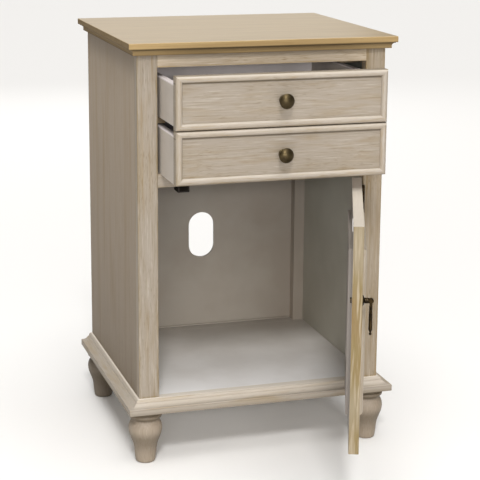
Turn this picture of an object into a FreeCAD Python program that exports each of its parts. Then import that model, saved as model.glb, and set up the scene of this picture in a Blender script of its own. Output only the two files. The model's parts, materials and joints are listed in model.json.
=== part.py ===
import FreeCAD, Part
import math
import os

Vector = FreeCAD.Vector

# Overall sizes of the cabinet, in millimetres. The floor is z = 0, the front faces -Y and the
# origin is on the floor under the middle of the top board.
overall_height = 711.0
carcass_width = 426.0
carcass_depth = 382.0

# Top board and the crown moulding under it
top_thickness = 10.0
top_front_overhang = 16.0
top_side_overhang = 16.0
top_back_overhang = 10.0
top_upper_round = 1.4
top_lower_round = 0.8
crown_height = 10.4
crown_projection = 13.0
crown_fillet_height = 1.2
crown_fascia_height = 4.2
crown_fascia_projection = 8.0

# Base moulding, floor board and turned feet
base_bottom = 92.0
base_height = 23.0
base_overhang = 21.0
base_ledge_width = 8.0
base_fascia_height = 11.5
base_edge_round = 1.4
base_cove_width = 11.6
base_cove_height = 5.6
base_step_width = 1.5
base_ovolo_width = 5.0
floor_thickness = 9.0
floor_clearance = 0.4
foot_inset = 34.0
foot_cap_radius = 26.0
foot_cap_height = 5.0
foot_collar_radius = 28.2
foot_collar_height = 8.7
foot_neck_radius = 23.4
foot_neck_height = 3.8
foot_bulge_radius = 28.3
foot_ankle_radius = 18.4
foot_sole_radius = 16.6
foot_sole_round = 3.6
# Height and swell of the foot's side, as shares of its rise and of its taper
foot_side_shares = ((0.2, 0.0), (0.36, 0.14), (0.56, 0.62), (0.76, 1.0), (0.9, 0.9))
foot_bolt_radius = 4.0
foot_bolt_in_foot = 40.0
foot_bolt_in_base = 11.0

# Face frame, sides and back
frame_thickness = 18.0
stile_width = 34.0
top_rail_height = 31.0
middle_rail_height = 22.0
middle_rail_depth = 58.0
rail_tenon_length = 12.0
rail_tenon_thickness = 7.0
rail_tenon_shoulder = 4.0
side_thickness = 12.0
side_tongue_length = 6.0
side_tongue_thickness = 5.0
frame_edge_round = 1.2
back_thickness = 6.0
back_inset = 4.0
rear_post_width = 20.0
rear_post_depth = 20.0
rear_rail_height = 41.0
cable_slot_width = 50.0
cable_slot_height = 88.0

# Drawers
drawer_front_height = 85.2
drawer_gap = 1.2
drawer_side_gap = 3.0
drawer_rest_out = 106.0
drawer_bead_width = 10.8
drawer_bead_proud = 5.2
drawer_side_thickness = 11.0
drawer_side_inset = 1.5
drawer_front_dado = 5.0
drawer_back_thickness = 11.0
drawer_bottom_thickness = 4.0
drawer_bottom_rise = 8.0
drawer_groove_depth = 5.0
drawer_groove_clearance = 0.3
drawer_edge_round = 1.5
upper_side_bottom_rise = 5.0
upper_side_top_drop = 14.0
lower_side_top_drop = 9.0

# Drawer runners and kickers
runner_ledge_reach = 13.0
upper_ledge_thickness = 12.0
lower_ledge_thickness = 18.0
runner_guide_height = 16.0
runner_guide_clearance = 0.8
runner_front_clearance = 1.0
runner_stop_length = 13.0
runner_stop_clearance = 0.4
kicker_clearance = 2.0
kicker_setback = 60.0

# Door
door_gap = 2.0
door_rest_angle = 69.0
door_thickness = 16.0
door_stile_width = 46.0
door_top_rail_width = 46.0
door_bottom_rail_width = 46.0
door_groove_depth = 9.0
door_panel_thickness = 5.0
door_panel_clearance = 0.8
door_edge_round = 1.4
door_bead_width = 9.0
door_bead_proud = 5.6
door_stop_width = 9.0
door_stop_proud = 5.4

# Butt hinges
hinge_length = 50.0
hinge_end_distance = 14.0
hinge_leaf_thickness = 1.2
hinge_leaf_width = 13.0
hinge_knuckle_radius = 3.0
hinge_knuckle_setoff = 3.5
hinge_knuckle_gap = 0.4
hinge_middle_knuckle_share = 0.36
hinge_pin_radius = 1.3
hinge_pin_clearance = 0.05
hinge_pin_head_radius = 2.5
hinge_pin_head_height = 1.4
hinge_screw_edge_share = 0.2

# Screws for hinges, catch, strike plate and back panel
screw_shank_radius = 1.5
screw_head_radius = 2.8
screw_length = 10.0
back_screw_shank_radius = 1.6
back_screw_head_radius = 3.2
back_screw_length = 18.0
back_screw_height_shares = (0.06, 0.35, 0.65, 0.94)

# Magnetic catch and its strike plate
catch_width = 20.0
catch_height = 15.0
catch_depth = 23.0
catch_from_opening = 38.0
catch_edge_round = 2.0
catch_gap = 0.3
catch_wall = 3.0
catch_screw_share = 0.78
magnet_plate_proud = 0.8
strike_thickness = 1.2
strike_width = 26.0
strike_height = 14.0
strike_top_drop = 2.0

# Knobs
knob_radius = 12.2
knob_length = 24.0
knob_flange_radius = 7.6
knob_flange_height = 2.4
knob_neck_radius = 4.6
knob_head_height = 12.0
knob_dome_height = 6.2
knob_flare_share = 1.28
knob_screw_radius = 2.0
knob_screw_depth = 12.0
knob_screw_head_radius = 4.2
knob_screw_head_height = 2.6

# Drop pull on the door
pull_below_door_top = 119.0
pull_rosette_radius = 8.2
pull_rosette_height = 2.8
pull_rosette_dome = 1.7
pull_neck_radius = 3.3
pull_barrel_radius = 4.4
pull_barrel_round = 1.2
pull_reach = 13.0
pull_eye_radius = 4.2
pull_eye_thickness = 3.6
pull_web_share = 0.88
pull_pin_radius = 1.3
pull_pin_clearance = 0.06
pull_fork_gap = 0.35
pull_fork_thickness = 1.8
pull_fork_radius = 2.9
pull_fork_drop = 8.0
pull_drop_length = 54.0
pull_drop_neck_radius = 2.2
pull_drop_belly_radius = 3.1
pull_ball_radius = 2.2
# Height and width of the drop's side, from its ball up to its fork
pull_drop_shares = ((0.0, 0.48), (0.06, 0.52), (0.14, 0.92), (0.26, 1.0), (0.6, 0.93), (1.0, 0.84))
pull_screw_radius = 2.0
pull_screw_depth = 7.0
pull_screw_head_radius = 4.4
pull_screw_head_height = 2.2

# One overrun serves all cuts, and the two shares give the middle of a quarter round
overrun = 1.0
far_quarter_share = math.sqrt(0.5)
near_quarter_share = 1 - far_quarter_share

# Planes worked out from the sizes above
half_width = carcass_width / 2
front_y = top_front_overhang - (carcass_depth + top_front_overhang + top_back_overhang) / 2
back_y = front_y + carcass_depth
frame_back_y = front_y + frame_thickness
base_top = base_bottom + base_height
base_member_width = base_overhang + side_thickness
top_underside = overall_height - top_thickness
inner_half = half_width - side_thickness
opening_half = half_width - stile_width
top_rail_bottom = top_underside - top_rail_height
middle_rail_top = top_rail_bottom - 2 * drawer_front_height - 3 * drawer_gap
middle_rail_bottom = middle_rail_top - middle_rail_height
post_back_y = back_y - back_inset - back_thickness
post_front_y = post_back_y - rear_post_depth
middle_rail_back_y = front_y + middle_rail_depth
floor_bottom = base_top - floor_thickness
cable_slot_centre = (base_top + middle_rail_bottom) / 2

drawer_front_half = opening_half - drawer_side_gap
drawer_board_y = front_y + drawer_bead_proud
drawer_box_half = drawer_front_half - drawer_side_inset
drawer_box_back_y = post_front_y - runner_stop_length - runner_stop_clearance
lower_front_bottom = middle_rail_top + drawer_gap
upper_front_bottom = lower_front_bottom + drawer_front_height + drawer_gap
upper_side_bottom = upper_front_bottom + upper_side_bottom_rise
upper_side_top = upper_front_bottom + drawer_front_height - upper_side_top_drop
lower_side_top = lower_front_bottom + drawer_front_height - lower_side_top_drop

door_half = opening_half - door_gap
door_bottom = base_top + door_gap
door_top = middle_rail_bottom - door_gap
door_back_y = front_y + door_thickness
door_middle_y = front_y + door_thickness / 2
hinge_axis = Vector(opening_half - door_gap / 2, front_y - hinge_knuckle_setoff, 0)
hinge_bottoms = (door_bottom + hinge_end_distance, door_top - hinge_end_distance - hinge_length)
middle_knuckle_length = hinge_length * hinge_middle_knuckle_share
pull_x = -door_half + door_stile_width / 2
pull_z = door_top - pull_below_door_top

along_x = Vector(1, 0, 0)
along_y = Vector(0, 1, 0)
along_z = Vector(0, 0, 1)


def box(x0, x1, y0, y1, z0, z1):
    return Part.makeBox(x1 - x0, y1 - y0, z1 - z0, Vector(x0, y0, z0))


def outline(place, start, *steps):
    # A step of one point is a straight line, and a step of two is an arc through the first.
    edges = []
    here = place(*start)
    for step in steps:
        there = place(*step[-1])
        if len(step) == 1:
            edges.append(Part.makeLine(here, there))
        else:
            edges.append(Part.Arc(here, place(*step[0]), there).toShape())
        here = there
    edges.append(Part.makeLine(here, place(*start)))
    return Part.Face(Part.Wire(edges))


def slab(points, z0, z1):
    corners = [Vector(x, y, z0) for x, y in points]
    return Part.Face(Part.makePolygon(corners + corners[:1])).extrude(along_z * (z1 - z0))


def turned(start, *steps):
    # A solid of revolution about Z from an outline of radius and height that starts on the axis.
    return outline(lambda r, z: Vector(r, 0, z), start, *steps).revolve(Vector(0, 0, 0), along_z, 360)


def spline_turned(radii_heights):
    # A turned solid whose side is one smooth curve through the given radii and heights.
    points = [Vector(r, 0, z) for r, z in radii_heights]
    curve = Part.BSplineCurve()
    curve.interpolate(points)
    low = Vector(0, 0, points[0].z)
    high = Vector(0, 0, points[-1].z)
    edges = [Part.makeLine(low, points[0]), curve.toShape(), Part.makeLine(points[-1], high),
             Part.makeLine(high, low)]
    return Part.Face(Part.Wire(edges)).revolve(Vector(0, 0, 0), along_z, 360)


def rod(radius, start, direction, length):
    return Part.makeCylinder(radius, length, start, direction)


def screw(shank_radius, head_radius, length, seat, direction):
    # A countersunk screw: its flat head lies in the seat's plane and its shank runs along direction.
    head = Part.makeCone(head_radius, shank_radius, head_radius - shank_radius, seat, direction)
    return head.fuse(rod(shank_radius, seat, direction, length)).removeSplitter()


def eased(shape, radius, keep):
    # Rounds the edges that keep() picks by their two end points.
    picked = [e for e in shape.Edges if keep(e.Vertexes[0].Point, e.Vertexes[-1].Point)]
    return shape.makeFillet(radius, picked)


def near(a, b):
    return abs(a - b) < overrun / 1000


def mirrored(shape):
    return shape.mirror(Vector(0, 0, 0), along_x)


def joined(shapes):
    return Part.makeCompound(shapes)


def top_board():
    left = -half_width - top_side_overhang
    front = front_y - top_front_overhang
    board = box(left, -left, front, back_y + top_back_overhang, top_underside, overall_height)
    board = eased(board, top_upper_round, lambda a, b: near(a.z, overall_height)
                  and near(b.z, overall_height))
    return eased(board, top_lower_round, lambda a, b: near(a.z, top_underside) and near(b.z, top_underside))


def crown_profile(place):
    # A flat fascia against the carcass and a cove from it out to a fillet under the top board.
    low = top_underside - crown_height
    fascia_top = low + crown_fascia_height
    fillet_bottom = top_underside - crown_fillet_height
    cove_width = crown_projection - crown_fascia_projection
    cove_mid_out = crown_fascia_projection + cove_width * near_quarter_share
    cove_mid_z = fillet_bottom - (fillet_bottom - fascia_top) * near_quarter_share
    return outline(place, (0, low), [(crown_fascia_projection, low)],
                   [(crown_fascia_projection, fascia_top)],
                   [(cove_mid_out, cove_mid_z), (crown_projection, fillet_bottom)],
                   [(crown_projection, top_underside)], [(0, top_underside)])


def crown_moulding():
    low = top_underside - crown_height
    out_x = half_width + crown_projection
    out_y = front_y - crown_projection
    front = crown_profile(lambda out, z: Vector(-out_x, front_y - out, z)).extrude(along_x * (2 * out_x))
    front_plan = slab([(-out_x, out_y), (out_x, out_y), (half_width, front_y), (-half_width, front_y)],
                      low, top_underside)
    left = crown_profile(lambda out, z: Vector(-half_width - out, out_y, z))
    left = left.extrude(along_y * (back_y - out_y))
    left_plan = slab([(-out_x, out_y), (-half_width, front_y), (-half_width, back_y), (-out_x, back_y)],
                     low, top_underside)
    left = left.common(left_plan)
    return joined([front.common(front_plan), left, mirrored(left)])


def base_profile(place):
    # From the outer edge inwards: an upright fascia with eased edges, a cove, a small step and an
    # ovolo up to the carcass. The rebate on the inside holds the floor board.
    fascia_top = base_bottom + base_fascia_height
    edge = base_edge_round
    edge_mid = edge * near_quarter_share
    cove_end = edge + base_cove_width
    cove_top = fascia_top + base_cove_height
    cove_mid = (edge + base_cove_width * far_quarter_share,
                fascia_top + base_cove_height * near_quarter_share)
    ovolo_start = cove_end + base_step_width
    ovolo_end = ovolo_start + base_ovolo_width
    ovolo_mid = (ovolo_start + base_ovolo_width * near_quarter_share,
                 base_top - (base_top - cove_top) * near_quarter_share)
    ledge = base_member_width + base_ledge_width
    return outline(place, (ledge, base_bottom), [(edge, base_bottom)],
                   [(edge_mid, base_bottom + edge_mid), (0, base_bottom + edge)], [(0, fascia_top - edge)],
                   [(edge_mid, fascia_top - edge_mid), (edge, fascia_top)],
                   [cove_mid, (cove_end, cove_top)],
                   [(ovolo_start, cove_top)], [ovolo_mid, (ovolo_end, base_top)],
                   [(base_member_width, base_top)], [(base_member_width, floor_bottom)],
                   [(ledge, floor_bottom)])


def base_mouldings():
    out_x = half_width + base_overhang
    out_y = front_y - base_overhang
    ledge = base_member_width + base_ledge_width
    front = base_profile(lambda inset, z: Vector(-out_x, out_y + inset, z)).extrude(along_x * (2 * out_x))
    front_plan = slab([(-out_x, out_y), (out_x, out_y), (out_x - ledge, out_y + ledge),
                       (ledge - out_x, out_y + ledge)],
                      base_bottom, base_top)
    left = base_profile(lambda inset, z: Vector(inset - out_x, out_y, z))
    left = left.extrude(along_y * (back_y - out_y))
    left_plan = slab([(-out_x, out_y), (ledge - out_x, out_y + ledge), (ledge - out_x, back_y),
                      (-out_x, back_y)],
                     base_bottom, base_top)
    bolts = foot_bolts()
    left = left.common(left_plan)
    return front.common(front_plan).cut(bolts), left.cut(bolts), mirrored(left).cut(bolts)


def base_rear_rail():
    # A cross rail that laps over the ledges of the side mouldings.
    half_above = half_width + base_overhang - base_member_width
    half_below = half_above - base_ledge_width
    front_above = back_y - base_member_width
    front_below = front_above - base_ledge_width
    above = box(-half_above, half_above, front_above, back_y, floor_bottom, base_top)
    below = box(-half_below, half_below, front_below, back_y, base_bottom, floor_bottom)
    return above.fuse(below).removeSplitter().cut(foot_bolts())


def floor_panel():
    half = half_width + base_overhang - base_member_width - floor_clearance
    front = front_y - base_overhang + base_member_width + floor_clearance
    back = back_y - base_member_width - floor_clearance
    return box(-half, half, front, back, floor_bottom, base_top)


def foot_centres():
    x = half_width + base_overhang - foot_inset
    front = front_y - base_overhang + foot_inset
    back = back_y - foot_inset
    return {"front_left": (-x, front), "front_right": (x, front), "rear_left": (-x, back),
            "rear_right": (x, back)}


def turned_foot():
    # A cap, a rounded collar, a neck groove and a vase-shaped body that tapers to a rounded sole.
    cap_low = base_bottom - foot_cap_height
    collar_low = cap_low - foot_collar_height
    neck_low = collar_low - foot_neck_height
    rise = neck_low - foot_sole_round
    taper = foot_bulge_radius - foot_ankle_radius
    side = [(foot_sole_radius, foot_sole_round)]
    for height_share, taper_share in foot_side_shares:
        side.append((foot_ankle_radius + taper * taper_share, foot_sole_round + rise * height_share))
    body = spline_turned(side + [(foot_neck_radius, neck_low)])
    sole_mid = foot_sole_round * near_quarter_share
    sole = turned((0, 0), [(foot_sole_radius - foot_sole_round, 0)],
                  [(foot_sole_radius - sole_mid, sole_mid), (foot_sole_radius, foot_sole_round)],
                  [(0, foot_sole_round)])
    neck = rod(foot_neck_radius, Vector(0, 0, neck_low), along_z, foot_neck_height)
    collar = turned((0, collar_low), [(foot_neck_radius, collar_low)],
                    [(foot_collar_radius, (collar_low + cap_low) / 2), (foot_cap_radius, cap_low)],
                    [(foot_cap_radius, base_bottom)], [(0, base_bottom)])
    return body.fuse([sole, neck, collar]).removeSplitter()


def feet():
    foot = turned_foot()
    bolts = foot_bolts()
    return {name: foot.translated(Vector(x, y, 0)).cut(bolts) for name, (x, y) in foot_centres().items()}


def foot_bolts():
    low = base_bottom - foot_bolt_in_foot
    length = foot_bolt_in_foot + foot_bolt_in_base
    return joined([rod(foot_bolt_radius, Vector(x, y, low), along_z, length)
                   for x, y in foot_centres().values()])


def tenons(bottom, height, half):
    # Tongues on both ends of a rail, in the middle of the face frame's thickness.
    low = bottom + rail_tenon_shoulder
    high = bottom + height - rail_tenon_shoulder
    middle = front_y + frame_thickness / 2
    reach = half + rail_tenon_length
    return box(-reach, reach, middle - rail_tenon_thickness / 2, middle + rail_tenon_thickness / 2, low,
               high)


def top_front_rail():
    rail = box(-opening_half, opening_half, front_y, frame_back_y, top_rail_bottom, top_underside)
    return rail.fuse(tenons(top_rail_bottom, top_rail_height, opening_half)).removeSplitter()


def middle_front_rail():
    rail = box(-opening_half, opening_half, front_y, middle_rail_back_y, middle_rail_bottom,
               middle_rail_top)
    return rail.fuse(tenons(middle_rail_bottom, middle_rail_height, opening_half)).removeSplitter()


def left_side_panel():
    panel = box(-half_width, -inner_half, frame_back_y, back_y, base_top, top_underside)
    return panel.fuse(side_tongue()).removeSplitter()


def side_tongue():
    middle = (half_width + inner_half) / 2
    half = side_tongue_thickness / 2
    return box(-middle - half, -middle + half, frame_back_y - side_tongue_length, frame_back_y, base_top,
               top_underside)


def left_front_stile():
    stile = box(-half_width, -opening_half, front_y, frame_back_y, base_top, top_underside)
    stile = eased(stile, frame_edge_round, lambda a, b: near(a.y, front_y) and near(b.y, front_y)
                  and near(a.x, b.x))
    mortises = [tenons(top_rail_bottom, top_rail_height, opening_half),
                tenons(middle_rail_bottom, middle_rail_height, opening_half)]
    return stile.cut(joined(mortises + [side_tongue()]))


def left_rear_post():
    return box(-inner_half, rear_post_width - inner_half, post_front_y, post_back_y, base_top,
               top_underside)


def rear_top_rail():
    half = inner_half - rear_post_width
    return box(-half, half, post_front_y, post_back_y, top_underside - rear_rail_height, top_underside)


def cable_slot():
    radius = cable_slot_width / 2
    start = post_back_y - overrun
    length = back_thickness + 2 * overrun
    half_run = cable_slot_height / 2 - radius
    ends = [rod(radius, Vector(0, start, cable_slot_centre + side * half_run), along_y, length)
            for side in (-1, 1)]
    middle = box(-radius, radius, start, start + length, cable_slot_centre - half_run,
                 cable_slot_centre + half_run)
    return middle.fuse(ends).removeSplitter()


def back_panel():
    panel = box(-inner_half, inner_half, post_back_y, post_back_y + back_thickness, base_top, top_underside)
    return panel.cut(cable_slot()).cut(back_panel_screws())


def back_panel_screws():
    x = inner_half - rear_post_width / 2
    heights = [base_top + (top_underside - base_top) * share for share in back_screw_height_shares]
    rear = post_back_y + back_thickness
    return joined([screw(back_screw_shank_radius, back_screw_head_radius, back_screw_length,
                         Vector(side * x, rear, z), -along_y)
                   for side in (-1, 1) for z in heights])


def left_runner(ledge_top, ledge_thickness, start_y):
    # An L-shaped wooden runner: a ledge under the drawer side, a guide beside it and a stop behind it.
    guide_x = -drawer_box_half - runner_guide_clearance
    ledge_x = -drawer_box_half + runner_ledge_reach
    section = outline(lambda x, z: Vector(x, start_y, z), (-inner_half, ledge_top - ledge_thickness),
                      [(ledge_x, ledge_top - ledge_thickness)], [(ledge_x, ledge_top)],
                      [(guide_x, ledge_top)],
                      [(guide_x, ledge_top + runner_guide_height)],
                      [(-inner_half, ledge_top + runner_guide_height)])
    rail = section.extrude(along_y * (post_front_y - start_y))
    stop = box(guide_x, ledge_x, drawer_box_back_y + runner_stop_clearance, post_front_y,
               ledge_top, ledge_top + runner_guide_height)
    return rail.fuse(stop).removeSplitter()


def left_kicker():
    ledge_x = -drawer_box_half + runner_ledge_reach
    front = frame_back_y + kicker_setback
    return box(-inner_half, ledge_x, front, post_front_y, upper_side_top + kicker_clearance, top_underside)


def both_sides(left):
    return joined([left, mirrored(left)])


def mitred_frame(profile, half, low, high, width, y0, y1):
    # Four mitred strips round a rectangle in the XZ plane. profile(place) draws the section from the
    # outer edge inwards, and y0 and y1 bound its thickness.
    middle = (low + high) / 2
    tall = (high - low) / 2
    sideways = profile(lambda inset, y: Vector(inset - half, y, low)).extrude(along_z * (high - low))
    across = profile(lambda inset, y: Vector(-half, y, low + inset)).extrude(along_x * (2 * half))

    def plan(points):
        corners = [Vector(x, y0, middle + z) for x, z in points]
        return Part.Face(Part.makePolygon(corners + corners[:1])).extrude(along_y * (y1 - y0))

    left = sideways.common(plan([(-half, -tall), (width - half, width - tall), (width - half, tall - width),
                                 (-half, tall)]))
    bottom = across.common(plan([(-half, -tall), (half, -tall), (half - width, width - tall),
                                 (width - half, width - tall)]))
    top = bottom.mirror(Vector(0, 0, middle), along_z)
    return joined([left, mirrored(left), bottom, top])


def drawer_bead_profile(place):
    # A half-round bead on the face of the front board.
    crest = (drawer_bead_width / 2, front_y)
    return outline(place, (0, drawer_board_y), [crest, (drawer_bead_width, drawer_board_y)])


def drawer_pieces(front_bottom, side_bottom, side_top):
    # One drawer in its closed place.
    front_top = front_bottom + drawer_front_height
    side_front_y = frame_back_y - drawer_front_dado
    bottom_z = side_bottom + drawer_bottom_rise
    inner = drawer_box_half - drawer_side_thickness
    reach = inner + drawer_groove_depth
    panel_front_y = frame_back_y - drawer_groove_depth
    c = drawer_groove_clearance
    side = box(-drawer_box_half, -inner, side_front_y, drawer_box_back_y, side_bottom, side_top)
    side = eased(side, drawer_edge_round, lambda a, b: near(a.z, side_top) and near(b.z, side_top)
                 and near(a.x, b.x))
    groove = box(-reach, reach, panel_front_y, drawer_box_back_y + overrun, bottom_z,
                 bottom_z + drawer_bottom_thickness)
    middle_z = (front_bottom + front_top) / 2
    knob_screw = rod(knob_screw_radius, Vector(0, frame_back_y, middle_z), -along_y,
                     frame_back_y - drawer_board_y + knob_screw_depth)
    knob_screw = knob_screw.fuse(knob_screw_head(middle_z)).removeSplitter()
    front = box(-drawer_front_half, drawer_front_half, drawer_board_y, frame_back_y,
                front_bottom, front_top)
    dado = box(-drawer_box_half, -inner, side_front_y, frame_back_y, side_bottom, side_top)
    front = front.cut(joined([dado, mirrored(dado)])).cut(groove).cut(knob_screw)
    side = side.cut(groove)
    back = box(-inner, inner, drawer_box_back_y - drawer_back_thickness, drawer_box_back_y,
               bottom_z + drawer_bottom_thickness, side_top)
    back = eased(back, drawer_edge_round, lambda a, b: near(a.z, side_top) and near(b.z, side_top)
                 and near(a.y, b.y))
    bottom = box(-reach + c, reach - c, panel_front_y + c, drawer_box_back_y, bottom_z,
                 bottom_z + drawer_bottom_thickness)
    bead = mitred_frame(drawer_bead_profile, drawer_front_half, front_bottom, front_top, drawer_bead_width,
                        front_y, drawer_board_y)
    return {"drawer_front": front, "drawer_bead": bead, "drawer_left_side": side,
            "drawer_right_side": mirrored(side),
            "drawer_back": back, "drawer_bottom": bottom, "knob": knob(middle_z).cut(knob_screw),
            "knob_screw": knob_screw}


def knob_screw_head(z):
    return rod(knob_screw_head_radius, Vector(0, frame_back_y, z), along_y, knob_screw_head_height)


def knob(z):
    # A mushroom knob: a flange, a waisted neck and a domed head with a rolled rim.
    head_low = knob_length - knob_head_height
    rim = knob_length - knob_dome_height
    flare = knob_neck_radius * knob_flare_share
    dome_radius = (knob_radius ** 2 + knob_dome_height ** 2) / (2 * knob_dome_height)
    half_turn = math.asin(knob_radius / dome_radius) / 2
    dome_mid = (dome_radius * math.sin(half_turn), knob_length - dome_radius * (1 - math.cos(half_turn)))
    rim_mid = (flare + (knob_radius - flare) * far_quarter_share,
               rim - (rim - head_low) * far_quarter_share)
    body = turned((0, 0), [(knob_flange_radius, 0)], [(knob_flange_radius, knob_flange_height / 2)],
                  [(flare, knob_flange_height)],
                  [(knob_neck_radius, (knob_flange_height + head_low) / 2), (flare, head_low)],
                  [rim_mid, (knob_radius, rim)], [dome_mid, (0, knob_length)])
    body.rotate(Vector(0, 0, 0), along_x, 90)
    return body.translated(Vector(0, drawer_board_y, z))


def door_groove():
    # The groove that runs round inside the frame, and along the whole of each stile.
    half = door_panel_thickness / 2
    reach = door_half - door_stile_width + door_groove_depth
    return box(-reach, reach, door_middle_y - half, door_middle_y + half, door_bottom, door_top)


def door_free_stile():
    stile = box(-door_half, door_stile_width - door_half, front_y, door_back_y, door_bottom, door_top)
    stile = eased(stile, door_edge_round, lambda a, b: near(a.x, -door_half) and near(b.x, -door_half)
                  and near(a.y, b.y))
    return stile.cut(door_groove()).cut(pull_screw()).cut(door_hardware_screws())


def door_hinge_stile():
    stile = box(door_half - door_stile_width, door_half, front_y, door_back_y, door_bottom, door_top)
    return stile.cut(door_groove()).cut(leaf_mortises(-1)).cut(door_hardware_screws())


def door_rail(low, high, groove_low, groove_high):
    # A rail with stub tenons that fill the stiles' grooves, and a groove for the panel.
    half = door_half - door_stile_width
    reach = half + door_groove_depth
    thin = door_panel_thickness / 2
    rail = box(-half, half, front_y, door_back_y, low, high)
    rail = rail.fuse(box(-reach, reach, door_middle_y - thin, door_middle_y + thin, low, high))
    groove = box(-reach, reach, door_middle_y - thin, door_middle_y + thin, groove_low, groove_high)
    return rail.cut(groove).removeSplitter()


def door_top_rail():
    low = door_top - door_top_rail_width
    return door_rail(low, door_top, low, low + door_groove_depth).cut(door_hardware_screws())


def door_bottom_rail():
    high = door_bottom + door_bottom_rail_width
    return door_rail(door_bottom, high, high - door_groove_depth, high)


def door_panel():
    reach = door_half - door_stile_width + door_groove_depth - door_panel_clearance
    thin = door_panel_thickness / 2
    low = door_bottom + door_bottom_rail_width - door_groove_depth + door_panel_clearance
    high = door_top - door_top_rail_width + door_groove_depth - door_panel_clearance
    return box(-reach, reach, door_middle_y - thin, door_middle_y + thin, low, high)


def door_bead_profile(place):
    # A rounded moulding against the frame, proud of it, with its inner side falling to the panel.
    panel_y = door_middle_y - door_panel_thickness / 2
    outer_y = front_y - door_bead_proud
    nose = door_bead_proud
    return outline(place, (0, panel_y), [(0, front_y)],
                   [(nose * near_quarter_share, outer_y + nose * near_quarter_share), (nose, outer_y)],
                   [(nose + (door_bead_width - nose) * far_quarter_share, front_y),
                    (door_bead_width, panel_y)])


def door_bead():
    half = door_half - door_stile_width
    return mitred_frame(door_bead_profile, half, door_bottom + door_bottom_rail_width,
                        door_top - door_top_rail_width,
                        door_bead_width, front_y - door_bead_proud, door_middle_y)


def door_stop_profile(place):
    # A quarter-round stop on the inside of the door, which holds the panel in the frame.
    panel_y = door_middle_y + door_panel_thickness / 2
    inner_y = door_back_y + door_stop_proud
    return outline(place, (0, panel_y), [(0, inner_y)],
                   [(door_stop_width * far_quarter_share,
                     inner_y - (inner_y - panel_y) * near_quarter_share),
                    (door_stop_width, panel_y)])


def door_panel_stops():
    half = door_half - door_stile_width
    return mitred_frame(door_stop_profile, half, door_bottom + door_bottom_rail_width,
                        door_top - door_top_rail_width,
                        door_stop_width, door_middle_y, door_back_y + door_stop_proud)


def leaf_box(side, low, y0, y1):
    # The plate of a leaf: side 1 lies on the cabinet's stile, and side -1 on the door.
    near_x = hinge_axis.x + side * door_gap / 2
    far_x = near_x + side * hinge_leaf_thickness
    return box(min(near_x, far_x), max(near_x, far_x), y0, y1, low, low + hinge_length)


def leaf_mortises(side):
    return joined([leaf_box(side, low, front_y - overrun, front_y + hinge_leaf_width)
                   for low in hinge_bottoms])


def hinge_leaf(side, low):
    # A plate with its knuckles: the cabinet's leaf has the two outer ones and the door's the middle one.
    middle_low = low + (hinge_length - middle_knuckle_length) / 2
    middle_high = middle_low + middle_knuckle_length
    radius = hinge_knuckle_radius
    clear = radius + hinge_knuckle_gap
    axis = hinge_axis
    plate = leaf_box(side, low, axis.y, front_y + hinge_leaf_width)
    if side > 0:
        knuckles = [(low, middle_low), (middle_high, low + hinge_length)]
        gaps = [(middle_low, middle_high)]
        bore = hinge_pin_radius
    else:
        knuckles = [(middle_low + hinge_knuckle_gap, middle_high - hinge_knuckle_gap)]
        gaps = [(low, middle_low + hinge_knuckle_gap),
                (middle_high - hinge_knuckle_gap, low + hinge_length)]
        bore = hinge_pin_radius + hinge_pin_clearance
    for z0, z1 in gaps:
        plate = plate.cut(box(axis.x - clear, axis.x + clear, axis.y - clear, axis.y + clear, z0, z1))
    barrels = [rod(radius, axis + along_z * z0, along_z, z1 - z0) for z0, z1 in knuckles]
    leaf = plate.fuse(barrels)
    return leaf.cut(rod(bore, axis + along_z * (low - overrun), along_z,
                        hinge_length + 2 * overrun)).removeSplitter()


def hinge_screws(side):
    x = hinge_axis.x + side * door_gap / 2
    y = front_y + hinge_leaf_width / 2
    first = hinge_length * hinge_screw_edge_share
    heights = [low + rise for low in hinge_bottoms for rise in (first, hinge_length - first)]
    return [screw(screw_shank_radius, screw_head_radius, screw_length, Vector(x, y, z), along_x * side)
            for z in heights]


def hinge_pins():
    pins = []
    for low in hinge_bottoms:
        pin = rod(hinge_pin_radius, hinge_axis + along_z * low, along_z, hinge_length)
        head = rod(hinge_pin_head_radius, hinge_axis + along_z * (low + hinge_length), along_z,
                   hinge_pin_head_height)
        pins.append(pin.fuse(head).removeSplitter())
    return joined(pins)


def hinge_cabinet_leaves():
    screws = joined(hinge_screws(1))
    return joined([hinge_leaf(1, low).cut(screws) for low in hinge_bottoms])


def hinge_door_leaves():
    screws = joined(hinge_screws(-1))
    return joined([hinge_leaf(-1, low).cut(screws) for low in hinge_bottoms])


def catch_x():
    return -opening_half + catch_from_opening


def catch_front_y():
    return door_back_y + strike_thickness + catch_gap + magnet_plate_proud


def catch_block():
    x = catch_x()
    y = catch_front_y()
    body = box(x, x + catch_width, y, y + catch_depth, middle_rail_bottom - catch_height,
               middle_rail_bottom)
    low = middle_rail_bottom - catch_height
    return eased(body, catch_edge_round, lambda a, b: near(a.z, low) and near(b.z, low))


def catch_magnet():
    # The magnet between two pole plates, which stands a little out of the body's front.
    x = catch_x() + catch_wall
    y = catch_front_y() - magnet_plate_proud
    low = middle_rail_bottom - catch_height + catch_wall
    return box(x, x + catch_width - 2 * catch_wall, y, y + catch_depth / 2, low,
               middle_rail_bottom - catch_wall)


def catch_screws():
    x = catch_x() + catch_width / 2
    y = catch_front_y() + catch_depth * catch_screw_share
    low = middle_rail_bottom - catch_height
    return [screw(screw_shank_radius, screw_head_radius, catch_height + screw_length, Vector(x, y, low),
                  along_z)]


def catch_body():
    return catch_block().cut(catch_magnet()).cut(joined(catch_screws()))


def strike_plate():
    x = catch_x() + (catch_width - strike_width) / 2
    top = door_top - strike_top_drop
    plate = box(x, x + strike_width, door_back_y, door_back_y + strike_thickness, top - strike_height, top)
    return plate.cut(joined(strike_screws()))


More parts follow.
